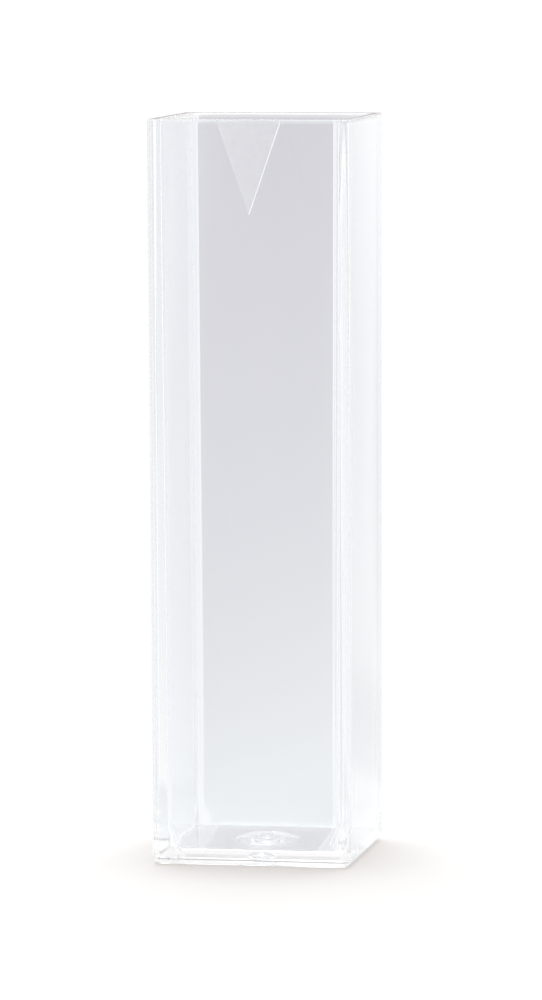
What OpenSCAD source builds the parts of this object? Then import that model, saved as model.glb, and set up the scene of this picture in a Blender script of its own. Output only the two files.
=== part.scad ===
// Square spectrophotometer cuvette, moulded in one piece from clear polystyrene.
// It stands on its foot at z = 0 with the sample cavity open at the top.
// The optical windows face front (-Y, the side with the mark) and back (+Y).

/* [Body] */
// Height from the foot to the rim
body_h = 45; // [25:0.5:60]
// Outside width of each side at the foot
foot_w = 12.2; // [11:0.05:14]
// Outside width of each side at the rim
rim_w = 12.4; // [11:0.05:14]
// Radius of the four upright outside corners
corner_r = 0.6; // [0.2:0.05:1]
// Radius of the edge round the underside
foot_edge_r = 0.55; // [0.05:0.05:0.8]
// Radius of the outside edge of the rim
rim_edge_r = 0.1; // [0.05:0.05:0.3]

/* [Walls] */
// Thickness of the front and back windows at the foot
window_t_foot = 1.1; // [0.8:0.05:1.8]
// Thickness of the front and back windows at the rim
window_t_rim = 1.15; // [0.8:0.05:1.8]
// Thickness of the left and right walls at the foot
side_t_foot = 0.86; // [0.7:0.02:1.8]
// Thickness of the left and right walls at the rim
side_t_rim = 0.72; // [0.7:0.02:1.8]
// Radius of the inside edge of the rim
mouth_edge_r = 0.3; // [0.05:0.05:0.35]

/* [Cavity] */
// Thickness of the floor
floor_t = 0.9; // [0.8:0.05:3]
// Radius of the four upright corners inside the cavity
cavity_r = 0.35; // [0.1:0.05:1]
// Radius of the four corners where they reach the floor
floor_corner_r = 1.3; // [0.3:0.1:2.5]
// Height above the floor over which the corners grow to that radius
floor_corner_h = 1.4; // [0.5:0.1:4]
// Radius where the cavity walls meet the floor
floor_fillet_r = 0.1; // [0.05:0.05:0.5]

/* [Mark] */
// Width of the triangular mark at the rim
mark_w = 4; // [1:0.1:6]
// Height of the mark from the rim down to its tip
mark_h = 5.75; // [2:0.05:10]
// Depth of the mark below the inside of the front window at the rim
mark_t_rim = 0.25; // [0.1:0.05:0.5]
// Depth of the mark at its tip
mark_t_tip = 0.2; // [0.05:0.05:0.5]
// Width of the steep sides of the mark
mark_side_w = 0.04; // [0.02:0.02:0.3]

/* [Gate] */
// Diameter of the round recess under the floor, where the plastic was injected
gate_d = 1.8; // [1.8:0.1:4]
// Depth of the gate recess
gate_t = 0.25; // [0.25:0.05:0.5]
// Radius of the edge at the top of the gate recess
gate_edge_r = 0.24; // [0.04:0.02:0.24]
// Diameter of the stub that is left at the gate
stub_d = 0.9; // [0.5:0.1:1.2]
// Height of the stub
stub_h = 0.22; // [0.04:0.02:0.24]
// Diameter of the low dome on the floor above the gate
dome_d = 4.1; // [2:0.1:6]
// Height of the dome
dome_h = 0.45; // [0.05:0.05:0.8]

/* [Hidden] */

clear_plastic = [0.88, 0.91, 0.94, 0.45];
corner_fn = 32;     // facets of a whole turn of a rounded corner
edge_steps = 5;     // facets across a rounded edge
round_fn = 96;      // facets of a whole turn of the gate and the dome
over = 0.6;         // how far a cut runs past the face that it opens
skin = 0.01;        // thickness of a layer that only gives a hull its outline

// Cavity width (X) and depth (Y), taken to the foot and to the rim along the drafted walls
cavity_w_foot = foot_w - 2 * side_t_foot;
cavity_w_rim = rim_w - 2 * side_t_rim;
cavity_d_foot = foot_w - 2 * window_t_foot;
cavity_d_rim = rim_w - 2 * window_t_rim;

// A size that changes evenly from the foot to the rim, at height z
function at_z(foot, rim, z) = foot + (rim - foot) * z / body_h;

// Half outline of a disc of radius r and thickness r with its lower edge rounded by edge_r
function disc_outline(r, edge_r) = [
    [0, 0],
    for (i = [0 : edge_steps])
        let (a = 90 * i / edge_steps)
        [r - edge_r + edge_r * sin(a), edge_r - edge_r * cos(a)],
    [r, r],
    [0, r]
];

// Corner disc for a hull, resting on z = 0 with its lower edge rounded
module rounded_disc(r, edge_r) {
    rotate_extrude($fn = corner_fn) polygon(disc_outline(r, min(edge_r, r)));
}

// Puts its children at the four corners of a w by d rectangle, r inside its sides
module at_corners(w, d, r) {
    for (sx = [-1, 1], sy = [-1, 1])
        translate([sx * (w / 2 - r), sy * (d / 2 - r), 0]) children();
}

// Drafted outside form, from the rounded foot to the rounded rim
module outside() {
    hull() {
        at_corners(foot_w, foot_w, corner_r) rounded_disc(corner_r, foot_edge_r);
        translate([0, 0, body_h])
            mirror([0, 0, 1])
                at_corners(rim_w, rim_w, corner_r) rounded_disc(corner_r, rim_edge_r);
    }
}

// Puts a corner of radius r at the four corners of the cavity at height z
module at_cavity_corners(z, r) {
    translate([0, 0, z])
        at_corners(at_z(cavity_w_foot, cavity_w_rim, z), at_z(cavity_d_foot, cavity_d_rim, z), r)
            children();
}

// Drafted cavity, from the floor with its rounder corners to past the rim
module cavity() {
    hull() {
        at_cavity_corners(floor_t, floor_corner_r) rounded_disc(floor_corner_r, floor_fillet_r);
        for (z = [floor_t + floor_corner_h, body_h + over])
            at_cavity_corners(z, cavity_r) cylinder(r = cavity_r, h = skin, $fn = corner_fn);
    }
}

// Ring of points at height z: a w by d rectangle with corners of radius r
function rounded_ring(w, d, r, z) = [
    for (corner = [0 : 3], i = [0 : corner_fn / 4])
        let (
            a = 90 * corner + 360 * i / corner_fn,
            sx = corner == 0 || corner == 3 ? 1 : -1,
            sy = corner < 2 ? 1 : -1
        )
        [sx * (w / 2 - r) + r * cos(a), sy * (d / 2 - r) + r * sin(a), z]
];

// Solid between the first and the last of a stack of rings with equal numbers of points
module skinned(rings) {
    n = len(rings[0]);
    sides = [
        for (k = [0 : len(rings) - 2], i = [0 : n - 1])
            let (j = (i + 1) % n)
            [k * n + i, (k + 1) * n + i, (k + 1) * n + j, k * n + j]
    ];
    bottom = [for (i = [0 : n - 1]) i];
    top = [for (i = [n - 1 : -1 : 0]) (len(rings) - 1) * n + i];
    polyhedron(points = [for (ring = rings) each ring], faces = concat(sides, [bottom, top]));
}

// Rounded inside edge of the rim: the opening flares out along a quarter circle to the rim's face
module mouth() {
    low_z = body_h - mouth_edge_r;
    w = at_z(cavity_w_foot, cavity_w_rim, low_z);
    d = at_z(cavity_d_foot, cavity_d_rim, low_z);
    flares = [
        for (i = [0 : edge_steps])
            let (a = 90 * i / edge_steps)
            [mouth_edge_r * (1 - cos(a)), low_z + mouth_edge_r * sin(a)],
        [mouth_edge_r, body_h + over]
    ];
    skinned([
        for (flare = flares)
            rounded_ring(w + 2 * flare[0], d + 2 * flare[0], cavity_r + flare[0], flare[1])
    ]);
}

// Triangle that points down from the rim, with its sides run on past the rim
module mark_triangle(w, h) {
    grow = (h + over) / h;
    polygon([[-grow * w / 2, over], [grow * w / 2, over], [0, -h]]);
}

// Recess of the mark, cut from the cavity into the front window.
// Its floor leans back from the tip to the rim and its two long sides slope.
module mark() {
    half_angle = atan(mark_w / 2 / mark_h);
    floor_lean = atan((mark_t_rim - mark_t_tip) / mark_h);
    floor_w = mark_w - 2 * mark_side_w / cos(half_angle);
    translate([0, -cavity_d_rim / 2, body_h])
        rotate([90, 0, 0])
            hull() {
                translate([0, 0, -mark_t_tip]) linear_extrude(mark_t_tip) mark_triangle(mark_w, mark_h);
                translate([0, 0, mark_t_rim - skin])
                    rotate([floor_lean, 0, 0])
                        linear_extrude(skin) mark_triangle(floor_w, floor_w / mark_w * mark_h);
            }
}

// Round recess in the underside with a rounded top edge
module gate_recess() {
    r = gate_d / 2;
    translate([0, 0, gate_t])
        mirror([0, 0, 1])
            rotate_extrude($fn = round_fn)
                polygon([
                    [0, 0],
                    for (i = [0 : edge_steps])
                        let (a = 90 * i / edge_steps)
                        [r - gate_edge_r + gate_edge_r * sin(a), gate_edge_r - gate_edge_r * cos(a)],
                    [r, gate_t + over],
                    [0, gate_t + over]
                ]);
}

// Cap of a ball, w across and h high, on the plane z = 0
module ball_cap(w, h) {
    ball_r = (pow(w / 2, 2) + h * h) / (2 * h);
    rotate_extrude($fn = round_fn)
        intersection() {
            translate([0, h - ball_r]) circle(r = ball_r, $fn = round_fn);
            square([w / 2, h]);
        }
}

module cuvette() {
    color(clear_plastic) {
        difference() {
            outside();
            cavity();
            mouth();
            mark();
            gate_recess();
        }
        translate([0, 0, gate_t]) mirror([0, 0, 1]) ball_cap(stub_d, stub_h);
        translate([0, 0, floor_t]) ball_cap(dome_d, dome_h);
    }
}

cuvette();
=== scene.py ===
"""A clear moulded cuvette on a white bench, in soft studio light."""

import math

import bpy
from mathutils import Matrix, Vector


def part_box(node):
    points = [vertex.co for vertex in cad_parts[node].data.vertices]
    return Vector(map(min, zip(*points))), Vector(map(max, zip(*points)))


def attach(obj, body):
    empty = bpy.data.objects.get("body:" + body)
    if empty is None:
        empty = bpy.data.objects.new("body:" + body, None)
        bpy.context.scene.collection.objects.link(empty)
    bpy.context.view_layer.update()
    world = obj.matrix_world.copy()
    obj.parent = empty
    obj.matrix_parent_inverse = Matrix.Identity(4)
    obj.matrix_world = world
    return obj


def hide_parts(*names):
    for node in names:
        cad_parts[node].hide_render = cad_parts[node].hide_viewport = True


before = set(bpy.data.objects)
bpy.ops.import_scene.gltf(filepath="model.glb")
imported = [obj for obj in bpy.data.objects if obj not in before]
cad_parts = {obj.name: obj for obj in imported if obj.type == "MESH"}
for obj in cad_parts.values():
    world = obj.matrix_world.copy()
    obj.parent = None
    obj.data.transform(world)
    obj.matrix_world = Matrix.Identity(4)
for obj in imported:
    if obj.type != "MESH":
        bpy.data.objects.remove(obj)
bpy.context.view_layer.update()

MM = 0.001

# ---------------------------------------------------------------- sizes, in metres

lowest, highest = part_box("cuvette")
HEIGHT = highest.z - lowest.z
RIM_W = highest.x - lowest.x
FOOT_W = 12.2 * MM
WINDOW_T_FOOT, WINDOW_T_RIM = 1.1 * MM, 1.15 * MM
SIDE_T_FOOT, SIDE_T_RIM = 0.86 * MM, 0.72 * MM
FLOOR_T = 0.9 * MM

CORNER_R = 0.6 * MM
CAVITY_R = 0.35 * MM
FOOT_EDGE_R = 0.55 * MM
RIM_EDGE_R = 0.1 * MM
MOUTH_EDGE_R = 0.3 * MM
FLOOR_FILLET_R = 0.1 * MM
FLOOR_CORNER_R = 1.3 * MM
CORNER_RISE = 1.4 * MM

MARK_W, MARK_H = 4.0 * MM, 5.75 * MM
MARK_T_RIM, MARK_T_TIP = 0.25 * MM, 0.2 * MM
MARK_SIDE_W = 0.04 * MM
MARK_HALF_ANGLE = math.atan(MARK_W / 2 / MARK_H)
MARK_TIP_Z = HEIGHT - MARK_H
MARK_FLOOR_TIP_Z = MARK_TIP_Z + MARK_SIDE_W / math.sin(MARK_HALF_ANGLE)

GATE_R, GATE_T = 0.9 * MM, 0.25 * MM
GATE_EDGE_R = 0.24 * MM
GATE_LIP_R = 0.008 * MM
STUB_R, STUB_H = 0.45 * MM, 0.22 * MM
DOME_R, DOME_H = 2.05 * MM, 0.45 * MM

CORNER_STEPS = 12
EDGE_STEPS = 6
CAP_STEPS = 8
MARK_POINTS = 4
RING_POINTS = 4 * (CORNER_STEPS + 1) + MARK_POINTS
CLEAR_SLOT, MATTE_SLOT = 0, 1

# Points that round to the same place on the grid are one point.
POINT_GRID = 1e-7
# A shorter cross product gives no direction, and a normal's smaller part along an axis counts
# as none.
LEAST_CROSS = 1e-16
NORMAL_SLACK = 0.1
# Rounding error that the tip of the mark's floor may have.
SHARE_SLACK = 1e-9


def at_z(foot, rim, z):
    """A size that changes evenly from the foot to the rim, at height z."""
    return foot + (rim - foot) * z / HEIGHT


def outside_half(z):
    return at_z(FOOT_W, RIM_W, z) / 2


def cavity_halves(z):
    return (
        outside_half(z) - at_z(SIDE_T_FOOT, SIDE_T_RIM, z),
        outside_half(z) - at_z(WINDOW_T_FOOT, WINDOW_T_RIM, z),
    )


OUTSIDE_TILT = -math.atan((outside_half(HEIGHT) - outside_half(0)) / HEIGHT)


def cavity_tilts():
    foot, rim = cavity_halves(0), cavity_halves(HEIGHT)
    return [math.atan((r - f) / HEIGHT) for f, r in zip(foot, rim)]


# ---------------------------------------------------------------- rings of the moulding
# The surface is a stack of rings that all have the same number of points: from the middle of
# the underside, up the outside, over the rim, down the cavity and to the middle of the floor.
# A ring is (points, normals).


def mark_xs(z):
    """Where the mark's lines cross height z: outer left, inner left, inner right, outer right."""
    outer = max(0.0, MARK_W / 2 * (z - MARK_TIP_Z) / MARK_H)
    inner = max(0.0, outer - MARK_SIDE_W / math.cos(MARK_HALF_ANGLE))
    return -outer, -inner, inner, outer


def mark_depth(z):
    """How deep the floor of the mark lies at height z, and 0 below the floor's tip."""
    share = (z - MARK_FLOOR_TIP_Z) / (HEIGHT - MARK_FLOOR_TIP_Z)
    return 0.0 if share < -SHARE_SLACK else MARK_T_TIP + (MARK_T_RIM - MARK_T_TIP) * share


def square_ring(half_x, half_y, radius, z, tilt_x, tilt_y, facing=1, mark_z=None):
    """A rounded rectangle at height z. tilt_x and tilt_y are how far the normal leans up from
    level on the sides that face along X and along Y. facing is 1 outside and -1 in the cavity.
    mark_z is the height for which the mark's points are worked out. Without one they lie flat,
    as far apart as at the rim."""
    points, normals = [], []
    centres = [(1, -1, -90), (1, 1, 0), (-1, 1, 90), (-1, -1, 180)]
    for side_x, side_y, start in centres:
        for step in range(CORNER_STEPS + 1):
            angle = math.radians(start + 90 * step / CORNER_STEPS)
            c, s = math.cos(angle), math.sin(angle)
            points.append(Vector((
                side_x * (half_x - radius) + radius * c,
                side_y * (half_y - radius) + radius * s,
                z,
            )))
            tilt = tilt_x * c * c + tilt_y * s * s
            level = facing * math.cos(tilt)
            normals.append(Vector((c * level, s * level, math.sin(tilt))))
    xs = mark_xs(HEIGHT if mark_z is None else mark_z)
    depth = 0.0 if mark_z is None else mark_depth(mark_z)
    for x, back in zip(xs, (0.0, depth, depth, 0.0)):
        points.append(Vector((x, -half_y - back, z)))
        normals.append(Vector((0, -facing * math.cos(tilt_y), math.sin(tilt_y))))
    return points, normals


def round_ring(radius, z, tilt, facing=1):
    """A circle about the axis, with as many points as a rounded rectangle."""
    points, normals = [], []
    first = -math.pi / 2 - (RING_POINTS - (MARK_POINTS + 1) / 2) * math.tau / RING_POINTS
    for i in range(RING_POINTS):
        angle = first + i * math.tau / RING_POINTS
        c, s = math.cos(angle), math.sin(angle)
        points.append(Vector((radius * c, radius * s, z)))
        level = facing * math.cos(tilt)
        normals.append(Vector((c * level, s * level, math.sin(tilt))))
    return points, normals


def turns(first, last, steps):
    """Angles from first to last in degrees, as radians."""
    return [math.radians(first + (last - first) * i / steps) for i in range(steps + 1)]


def gate_rings():
    """Underside, from the stub at the middle out to the flat foot."""
    rings = []
    ball = (STUB_R**2 + STUB_H**2) / (2 * STUB_H)
    reach = math.asin(STUB_R / ball)
    for i in range(1, CAP_STEPS + 1):
        a = reach * i / CAP_STEPS
        z = GATE_T - STUB_H + ball * (1 - math.cos(a))
        rings.append(round_ring(ball * math.sin(a), z, a - math.pi / 2))
    rings.append(None)
    rings.append(round_ring(STUB_R, GATE_T, -math.pi / 2))
    for a in turns(0, 90, EDGE_STEPS):
        r = GATE_R - GATE_EDGE_R + GATE_EDGE_R * math.sin(a)
        z = GATE_T - GATE_EDGE_R + GATE_EDGE_R * math.cos(a)
        rings.append(round_ring(r, z, a - math.pi / 2, -1))
    for a in turns(0, 90, EDGE_STEPS):
        r = GATE_R + GATE_LIP_R - GATE_LIP_R * math.cos(a)
        rings.append(round_ring(r, GATE_LIP_R - GATE_LIP_R * math.sin(a), -a, -1))
    return rings


def outside_rings():
    """Outside, from the rounded edge of the foot to the rounded edge of the rim."""
    rings = []
    for a in turns(0, 90, EDGE_STEPS):
        inset = FOOT_EDGE_R * (1 - math.sin(a))
        z = FOOT_EDGE_R * (1 - math.cos(a))
        half = outside_half(z) - inset
        tilt = max(a - math.pi / 2, -math.pi / 2) + OUTSIDE_TILT * math.sin(a)
        rings.append(square_ring(half, half, CORNER_R - inset, z, tilt, tilt))
    for a in turns(0, 90, EDGE_STEPS):
        inset = RIM_EDGE_R * (1 - math.cos(a))
        z = HEIGHT - RIM_EDGE_R * (1 - math.sin(a))
        half = outside_half(z) - inset
        tilt = a + OUTSIDE_TILT * math.cos(a)
        rings.append(square_ring(half, half, CORNER_R - inset, z, tilt, tilt))
    return rings


def cavity_rings():
    """Cavity, from the rounded inside edge of the rim, past the mark, to the flat floor."""
    rings = []
    tilt_x, tilt_y = cavity_tilts()
    for a in turns(90, 0, EDGE_STEPS):
        flare = MOUTH_EDGE_R * (1 - math.cos(a))
        z = HEIGHT - MOUTH_EDGE_R * (1 - math.sin(a))
        half_x, half_y = (half + flare for half in cavity_halves(z))
        lean = [a + t * math.cos(a) for t in (tilt_x, tilt_y)]
        rings.append(square_ring(half_x, half_y, CAVITY_R + flare, z, *lean, -1, z))
    for z in (MARK_FLOOR_TIP_Z, MARK_TIP_Z, FLOOR_T + CORNER_RISE):
        rings.append(square_ring(*cavity_halves(z), CAVITY_R, z, tilt_x, tilt_y, -1, z))
    for a in turns(0, 90, EDGE_STEPS):
        inset = FLOOR_FILLET_R * (1 - math.cos(a))
        z = FLOOR_T + FLOOR_FILLET_R * (1 - math.sin(a))
        half_x, half_y = (half - inset for half in cavity_halves(z))
        lean = [a + t * math.cos(a) for t in (tilt_x, tilt_y)]
        rings.append(square_ring(half_x, half_y, FLOOR_CORNER_R - inset, z, *lean, -1))
    return rings


def floor_rings():
    """Dome over the gate, from its edge to the middle."""
    rings = [round_ring(DOME_R, FLOOR_T, math.pi / 2), None]
    ball = (DOME_R**2 + DOME_H**2) / (2 * DOME_H)
    reach = math.asin(DOME_R / ball)
    for i in range(CAP_STEPS):
        a = reach * (1 - i / CAP_STEPS)
        z = FLOOR_T + DOME_H - ball * (1 - math.cos(a))
        rings.append(round_ring(ball * math.sin(a), z, math.pi / 2 - a))
    return rings


def mark_normals(corners, below, above):
    """Normals of a face in the mark's columns. A steep face and a wall get the one that lies
    square to the face, and the others keep those of the rings."""
    normals = [below[0], below[1], above[1], above[0]]
    flat = (corners[2] - corners[0]).cross(corners[3] - corners[1])
    steep = corners[0].y != corners[1].y or corners[3].y != corners[2].y
    wall = abs(below[0].z) < NORMAL_SLACK and abs(above[0].z) < NORMAL_SLACK
    if flat.length > LEAST_CROSS and (steep or wall):
        normals = [flat.normalized()] * 4
    return normals


def on_mark_floor(corners, normals):
    """Whether a face of the mark's middle column lies in the recess and looks into the cavity."""
    inward = all(n.y > -NORMAL_SLACK for n in normals)
    return inward and all(-c.y > cavity_halves(c.z)[1] + MARK_T_TIP / 2 for c in corners[1:3])


def build_moulding(name, rings, first_middle, last_middle):
    """Skins the rings with quads and closes both ends on a middle point. None between two rings
    is a crease: they lie on one another, and only their normals differ."""
    vertices, faces, slots, corner_normals, numbers = [], [], [], [], {}
    mark_columns = range(RING_POINTS - MARK_POINTS, RING_POINTS - 1)

    def number(point):
        key = tuple(round(c / POINT_GRID) for c in point)
        if key not in numbers:
            numbers[key] = len(vertices)
            vertices.append(point)
        return numbers[key]

    def add_face(corners, normals, slot=CLEAR_SLOT):
        corner_numbers = [number(c) for c in corners]
        kept = [k for k in range(len(corners)) if corner_numbers[k] != corner_numbers[k - 1]]
        if len(kept) > 2:
            faces.append([corner_numbers[k] for k in kept])
            slots.append(slot)
            corner_normals.extend(normals[k].normalized() for k in kept)

    def fan(ring, middle, up, flip):
        points, normals = ring
        for i in range(RING_POINTS):
            j = (i + 1) % RING_POINTS
            order = (i, j) if flip else (j, i)
            corners = [middle] + [points[k] for k in order]
            add_face(corners, [up] + [normals[k] for k in order])

    fan(rings[0], first_middle, Vector((0, 0, -1)), False)
    for a, b in zip(rings, rings[1:]):
        if a is None or b is None:
            continue
        for i in range(RING_POINTS):
            j = (i + 1) % RING_POINTS
            corners = [a[0][i], a[0][j], b[0][j], b[0][i]]
            normals = [a[1][i], a[1][j], b[1][j], b[1][i]]
            if i in mark_columns:
                normals = mark_normals(corners, (a[1][i], a[1][j]), (b[1][i], b[1][j]))
            matte = i == mark_columns[1] and on_mark_floor(corners, normals)
            add_face(corners, normals, MATTE_SLOT if matte else CLEAR_SLOT)
    fan(rings[-1], last_middle, Vector((0, 0, 1)), True)

    mesh = bpy.data.meshes.new(name)
    mesh.from_pydata(vertices, [], faces)
    mesh.polygons.foreach_set("material_index", slots)
    mesh.normals_split_custom_set(corner_normals)
    piece = bpy.data.objects.new(name, mesh)
    bpy.context.scene.collection.objects.link(piece)
    return piece


moulding = build_moulding(
    "clear_body",
    gate_rings() + outside_rings() + cavity_rings() + floor_rings(),
    Vector((0, 0, GATE_T - STUB_H)),
    Vector((0, 0, FLOOR_T + DOME_H)),
)

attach(moulding, "root")
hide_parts("cuvette")


# ---------------------------------------------------------------- materials

POLYSTYRENE_IOR = 1.59
TINTS = ((0.955, 0.965, 0.985), (0.975, 0.98, 0.99))
RELIEF = 0.001 * MM
FLOW_LENGTH = 4 * MM
FLOW_STRETCH = 0.2
CLEAR_ROUGHNESS = (0.0, 0.05)
GRAIN_LENGTH = 0.35 * MM
GRAIN_STRETCH = 1.0
MATTE_ROUGHNESS = (0.13, 0.19)
# The finish changes while the noise goes from the first of these to the second.
NOISE_SPAN = (0.3, 0.7)
FINISH_DETAIL, RELIEF_DETAIL = 3, 0


def new_material(name):
    material = bpy.data.materials.new(name)
    material.use_nodes = True
    nodes, links = material.node_tree.nodes, material.node_tree.links
    nodes.clear()
    out = nodes.new("ShaderNodeOutputMaterial")
    return material, nodes, links, out


def math_node(nodes, links, operation, *values):
    node = nodes.new("ShaderNodeMath")
    node.operation = operation
    for socket, value in zip(node.inputs, values):
        if isinstance(value, bpy.types.NodeSocket):
            links.new(value, socket)
        else:
            socket.default_value = value
    return node.outputs[0]


def mix_colour(nodes, links, factor, a, b, blend="MIX"):
    node = nodes.new("ShaderNodeMix")
    node.data_type = "RGBA"
    node.blend_type = blend
    node.clamp_factor = True
    for socket, value in ((node.inputs[0], factor), (node.inputs[6], a), (node.inputs[7], b)):
        if isinstance(value, bpy.types.NodeSocket):
            links.new(value, socket)
        elif isinstance(value, tuple):
            socket.default_value = (*value, 1)
        else:
            socket.default_value = value
    return node.outputs[2]


def noise(nodes, links, length, stretch, detail):
    """Noise with features of a length across and length / stretch upright."""
    mapping = nodes.new("ShaderNodeMapping")
    links.new(nodes.new("ShaderNodeTexCoord").outputs["Object"], mapping.inputs["Vector"])
    mapping.inputs["Scale"].default_value = (1 / length, 1 / length, stretch / length)
    texture = nodes.new("ShaderNodeTexNoise")
    texture.inputs["Scale"].default_value = 1
    texture.inputs["Detail"].default_value = detail
    links.new(mapping.outputs[0], texture.inputs["Vector"])
    return texture.outputs["Fac"]


def clear_plastic(name, roughness, length, stretch):
    """Clear polystyrene whose tint, finish and relief vary a little from place to place."""
    material, nodes, links, out = new_material(name)
    flow = noise(nodes, links, length, stretch, FINISH_DETAIL)
    shader = nodes.new("ShaderNodeBsdfPrincipled")
    links.new(mix_colour(nodes, links, flow, *TINTS), shader.inputs["Base Color"])
    finish = nodes.new("ShaderNodeMapRange")
    finish.inputs["From Min"].default_value = NOISE_SPAN[0]
    finish.inputs["From Max"].default_value = NOISE_SPAN[1]
    finish.inputs["To Min"].default_value = roughness[0]
    finish.inputs["To Max"].default_value = roughness[1]
    links.new(flow, finish.inputs["Value"])
    links.new(finish.outputs[0], shader.inputs["Roughness"])
    bump = nodes.new("ShaderNodeBump")
    bump.inputs["Distance"].default_value = RELIEF
    links.new(noise(nodes, links, length, stretch, RELIEF_DETAIL), bump.inputs["Height"])
    links.new(bump.outputs[0], shader.inputs["Normal"])
    shader.inputs["IOR"].default_value = POLYSTYRENE_IOR
    shader.inputs["Transmission Weight"].default_value = 1
    links.new(shader.outputs[0], out.inputs["Surface"])
    return material


for finish in (
    clear_plastic("clear_plastic", CLEAR_ROUGHNESS, FLOW_LENGTH, FLOW_STRETCH),
    clear_plastic("matte_plastic", MATTE_ROUGHNESS, GRAIN_LENGTH, GRAIN_STRETCH),
):
    moulding.data.materials.append(finish)


# ---------------------------------------------------------------- stage
# A white bench in a pale room. The camera sees the bench and the backdrop as plain white, with
# a soft shadow on the bench and a painted shade: the bench's colour is darkened close to where
# the cuvette stands. Rays that pass through the plastic or glance off it see the room: softly
# bounded areas round about, each of its own tone, a grey runner that lies on the bench behind
# the front window and goes on up the far wall, and a darker line just above the bench.
# An azimuth is counted from the camera's side (-Y) by way of the right (+X). On the bench it is
# taken about ROOM_CENTRE, at the foot of the left wall.

WHITE = (1.0, 1.0, 1.0)
ROOM_TONE = WHITE
# Azimuth and half-width in degrees, and tone. Each area is laid over those before it.
ROOM_AREAS = [
    (325, 65, (0.66, 0.68, 0.74)),
    (250, 25, (1.05, 1.04, 1.04)),
    (215, 25, (0.85, 0.86, 0.88)),
    (186, 3, (1.10, 1.10, 1.10)),
    (181, 4, (0.82, 0.82, 0.83)),
    (172, 4, (1.10, 1.10, 1.10)),
    (166.5, 4, (0.76, 0.78, 0.80)),
    (140, 30, (1.07, 1.07, 1.05)),
    (177, 3, (0.80, 0.81, 0.82)),
    (157, 8, (0.55, 0.56, 0.59)),
    (80, 35, (0.70, 0.70, 0.72)),
    (15, 26, (1.33, 1.36, 1.41)),
]
ROOM_CENTRE = (-6 * MM, 0, 0)
# The runner goes out from the cuvette, turned from +Y, and spreads. A higher RUNNER_EDGE gives
# it sharper sides.
RUNNER_TURN = math.radians(10.6)
RUNNER_HALF_W = 5.5 * MM
RUNNER_SPREAD = 0.014
RUNNER_EDGE = 14.0
RUNNER_TONE = (0.64, 0.622, 0.65)
# On the wall the runner's half-width is a share of the distance to it.
FAR_RUNNER_HALF_W = 0.005
# Near the cuvette the bench takes on these tones, half of them at NEAR_REACH from it.
NEAR_REACH = 125 * MM
ROOM_NEAR_TONE = (0.93, 0.95, 0.95)
RUNNER_NEAR_TONE = (0.85, 0.88, 0.88)
# Above the horizon one tone gives way to the next between two elevations in degrees.
HIGH_TONE = (1.0, 0.985, 0.965)
HIGH_STARTS, HIGH_FULL = 2, 18
LINE_TONE = (0.55, 0.53, 0.54)
LINE_STARTS, LINE_FULL = 0.5, 2
LINE_FADES, LINE_ENDS = 4, 6

BENCH_Z = -0.02 * MM
BENCH_HALF_W = 3.5
BENCH_CORNERS = ((-1, -1), (1, -1), (1, 1), (-1, 1))
BENCH_ROUGHNESS = 0.7
BENCH_PAINT = (0.78, 0.83, 0.86)
BENCH_GLOW = (0.68, 0.645, 0.625)
# Painted shade: how dark the bench's colour is made close to what stands on it, and how far it
# reaches.
PAINTED_SHADE_REACH = 7 * MM
PAINTED_SHADE_TONE = (0.66, 0.63, 0.61)
KEY_LIGHT = 1.3
KEY_FROM = (-0.07, 0.27, 1.0)
KEY_ANGLE = math.radians(40)
# What scattered rays see of the room's light.
FILL_LIGHT = 0.06


def plastic_ray(nodes, links):
    """1 for rays that come through the plastic or glance off it, 0 for all others."""
    path = nodes.new("ShaderNodeLightPath").outputs
    return math_node(nodes, links, "MAXIMUM", path["Is Glossy Ray"], path["Is Transmission Ray"])


def room_tone(nodes, links, place):
    """Colour of the room in the level direction of a place or a direction."""
    flat = nodes.new("ShaderNodeVectorMath")
    flat.operation = "MULTIPLY"
    links.new(place, flat.inputs[0])
    flat.inputs[1].default_value = (1, 1, 0)
    level = nodes.new("ShaderNodeVectorMath")
    level.operation = "NORMALIZE"
    links.new(flat.outputs[0], level.inputs[0])
    tone = ROOM_TONE
    for azimuth, half_width, area_tone in ROOM_AREAS:
        a = math.radians(azimuth)
        closeness = nodes.new("ShaderNodeVectorMath")
        closeness.operation = "DOT_PRODUCT"
        links.new(level.outputs[0], closeness.inputs[0])
        closeness.inputs[1].default_value = (math.sin(a), -math.cos(a), 0)
        share = nodes.new("ShaderNodeMapRange")
        share.interpolation_type = "SMOOTHSTEP"
        share.inputs["From Min"].default_value = math.cos(math.radians(half_width))
        links.new(closeness.outputs["Value"], share.inputs["Value"])
        tone = mix_colour(nodes, links, share.outputs[0], tone, area_tone)
    return tone


def lay_runner(nodes, links, place, half_width, room, runner):
    """Colour of the room with the colour of the runner laid over it behind the front window."""
    split = nodes.new("ShaderNodeSeparateXYZ")
    links.new(place, split.inputs[0])
    x, y = split.outputs[0], split.outputs[1]
    c, s = math.cos(RUNNER_TURN), math.sin(RUNNER_TURN)
    across = math_node(nodes, links, "MULTIPLY", y, s)
    across = math_node(nodes, links, "MULTIPLY_ADD", x, c, across)
    along = math_node(nodes, links, "MULTIPLY", x, -s)
    along = math_node(nodes, links, "MULTIPLY_ADD", y, c, along)
    off = math_node(nodes, links, "ABSOLUTE", across)
    out = math_node(nodes, links, "MAXIMUM", along, 0.0)
    width = math_node(nodes, links, "MULTIPLY_ADD", out, RUNNER_SPREAD, half_width)
    edge = math_node(nodes, links, "DIVIDE", off, width)
    edge = math_node(nodes, links, "POWER", edge, RUNNER_EDGE)
    edge = math_node(nodes, links, "ADD", edge, 1.0)
    share = math_node(nodes, links, "DIVIDE", 1.0, edge)
    return mix_colour(nodes, links, share, room, runner)


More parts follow.
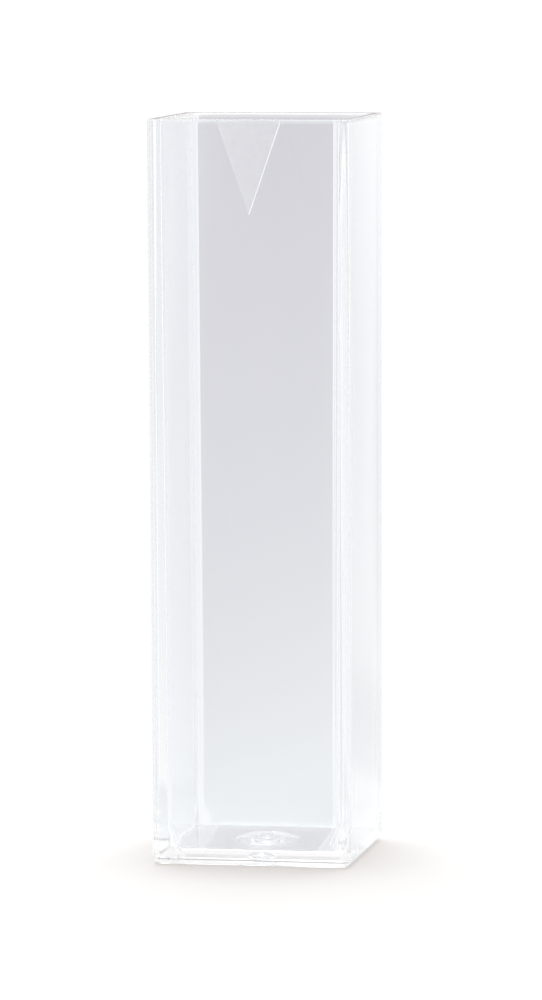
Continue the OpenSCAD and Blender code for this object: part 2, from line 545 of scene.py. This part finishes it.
def bench_material():
    material, nodes, links, out = new_material("bench")
    place = nodes.new("ShaderNodeNewGeometry").outputs["Position"]
    length = nodes.new("ShaderNodeVectorMath")
    length.operation = "LENGTH"
    links.new(place, length.inputs[0])
    reach = math_node(nodes, links, "ADD", length.outputs["Value"], NEAR_REACH)
    near = math_node(nodes, links, "DIVIDE", NEAR_REACH, reach)
    from_centre = nodes.new("ShaderNodeVectorMath")
    from_centre.operation = "SUBTRACT"
    links.new(place, from_centre.inputs[0])
    from_centre.inputs[1].default_value = ROOM_CENTRE
    room = room_tone(nodes, links, from_centre.outputs[0])
    room = mix_colour(nodes, links, near, room, ROOM_NEAR_TONE)
    runner = mix_colour(nodes, links, near, RUNNER_TONE, RUNNER_NEAR_TONE)
    seen = lay_runner(nodes, links, place, RUNNER_HALF_W, room, runner)
    # Painted shade: ambient occlusion darkens the bench's paint and glow near the cuvette, for
    # all rays but those through or off the plastic.
    painted_shade_occlusion = nodes.new("ShaderNodeAmbientOcclusion")
    painted_shade_occlusion.inputs["Distance"].default_value = PAINTED_SHADE_REACH
    with_painted_shade = mix_colour(nodes, links, painted_shade_occlusion.outputs["AO"], PAINTED_SHADE_TONE, WHITE)
    tone = mix_colour(nodes, links, plastic_ray(nodes, links), with_painted_shade, seen)
    shader = nodes.new("ShaderNodeBsdfPrincipled")
    paint = mix_colour(nodes, links, 1.0, tone, BENCH_PAINT, "MULTIPLY")
    glow = mix_colour(nodes, links, 1.0, tone, BENCH_GLOW, "MULTIPLY")
    links.new(paint, shader.inputs["Base Color"])
    shader.inputs["Roughness"].default_value = BENCH_ROUGHNESS
    shader.inputs["Specular IOR Level"].default_value = 0.0
    links.new(glow, shader.inputs["Emission Color"])
    shader.inputs["Emission Strength"].default_value = 1
    links.new(shader.outputs[0], out.inputs["Surface"])
    material.cycles.emission_sampling = "NONE"
    return material


def add_bench():
    mesh = bpy.data.meshes.new("bench")
    corners = [(x * BENCH_HALF_W, y * BENCH_HALF_W, BENCH_Z) for x, y in BENCH_CORNERS]
    mesh.from_pydata(corners, [], [range(len(corners))])
    mesh.materials.append(bench_material())
    bench = bpy.data.objects.new("bench", mesh)
    bpy.context.scene.collection.objects.link(bench)


def rise(nodes, links, height, start, full):
    """Share that grows from 0 to 1 between two elevations in degrees."""
    share = nodes.new("ShaderNodeMapRange")
    share.interpolation_type = "SMOOTHSTEP"
    share.inputs["From Min"].default_value = math.sin(math.radians(start))
    share.inputs["From Max"].default_value = math.sin(math.radians(full))
    links.new(height, share.inputs["Value"])
    return share.outputs[0]


def add_world():
    world = bpy.data.worlds.new("studio")
    bpy.context.scene.world = world
    world.use_nodes = True
    nodes, links = world.node_tree.nodes, world.node_tree.links
    background = nodes["Background"]
    direction = nodes.new("ShaderNodeTexCoord").outputs["Generated"]
    split = nodes.new("ShaderNodeSeparateXYZ")
    links.new(direction, split.inputs[0])
    height = split.outputs[2]
    room = room_tone(nodes, links, direction)
    low = lay_runner(nodes, links, direction, FAR_RUNNER_HALF_W, room, RUNNER_TONE)
    high_share = rise(nodes, links, height, HIGH_STARTS, HIGH_FULL)
    tone = mix_colour(nodes, links, high_share, low, HIGH_TONE)
    line_share = rise(nodes, links, height, LINE_STARTS, LINE_FULL)
    line = mix_colour(nodes, links, line_share, tone, LINE_TONE)
    above_line = rise(nodes, links, height, LINE_FADES, LINE_ENDS)
    tone = mix_colour(nodes, links, above_line, line, tone)
    seen = mix_colour(nodes, links, plastic_ray(nodes, links), WHITE, tone)
    links.new(seen, background.inputs["Color"])
    diffuse_ray = nodes.new("ShaderNodeLightPath").outputs["Is Diffuse Ray"]
    strength = math_node(nodes, links, "MULTIPLY_ADD", diffuse_ray, FILL_LIGHT - 1.0, 1.0)
    links.new(strength, background.inputs["Strength"])


def add_key_light():
    light = bpy.data.lights.new("key", "SUN")
    light.energy = KEY_LIGHT
    light.angle = KEY_ANGLE
    lamp = bpy.data.objects.new("key", light)
    lamp.rotation_euler = Vector(KEY_FROM).to_track_quat("Z", "Y").to_euler()
    bpy.context.scene.collection.objects.link(lamp)


add_bench()
add_world()
add_key_light()


# ---------------------------------------------------------------- camera

CAMERA_LENS = 217.7
CAMERA_SENSOR = 36
CAMERA_PLACE = Vector((67.9, -360.2, 58.1)) * MM
CAMERA_YAW = math.radians(-10.64)
CAMERA_DIP = math.radians(5.682)
CAMERA_ROLL = math.radians(-0.241)


def add_camera():
    data = bpy.data.cameras.new("camera")
    data.sensor_width = CAMERA_SENSOR
    data.lens = CAMERA_LENS
    camera = bpy.data.objects.new("camera", data)
    bpy.context.scene.collection.objects.link(camera)
    forward = Vector((
        math.sin(CAMERA_YAW) * math.cos(CAMERA_DIP),
        math.cos(CAMERA_YAW) * math.cos(CAMERA_DIP),
        -math.sin(CAMERA_DIP),
    ))
    right = forward.cross(Vector((0, 0, 1))).normalized()
    up = right.cross(forward)
    turned_right = right * math.cos(CAMERA_ROLL) + up * math.sin(CAMERA_ROLL)
    turned_up = turned_right.cross(forward)
    turn = Matrix((turned_right, turned_up, -forward)).transposed()
    camera.matrix_world = Matrix.Translation(CAMERA_PLACE) @ turn.to_4x4()
    bpy.context.scene.camera = camera


add_camera()


# ---------------------------------------------------------------- view, bounces and size

# Clear walls seen edge on pass light to and fro many times.
MOST_BOUNCES = 96

scene = bpy.context.scene
scene.view_settings.view_transform = "Standard"
scene.cycles.max_bounces = MOST_BOUNCES
scene.cycles.glossy_bounces = MOST_BOUNCES
scene.cycles.transmission_bounces = MOST_BOUNCES
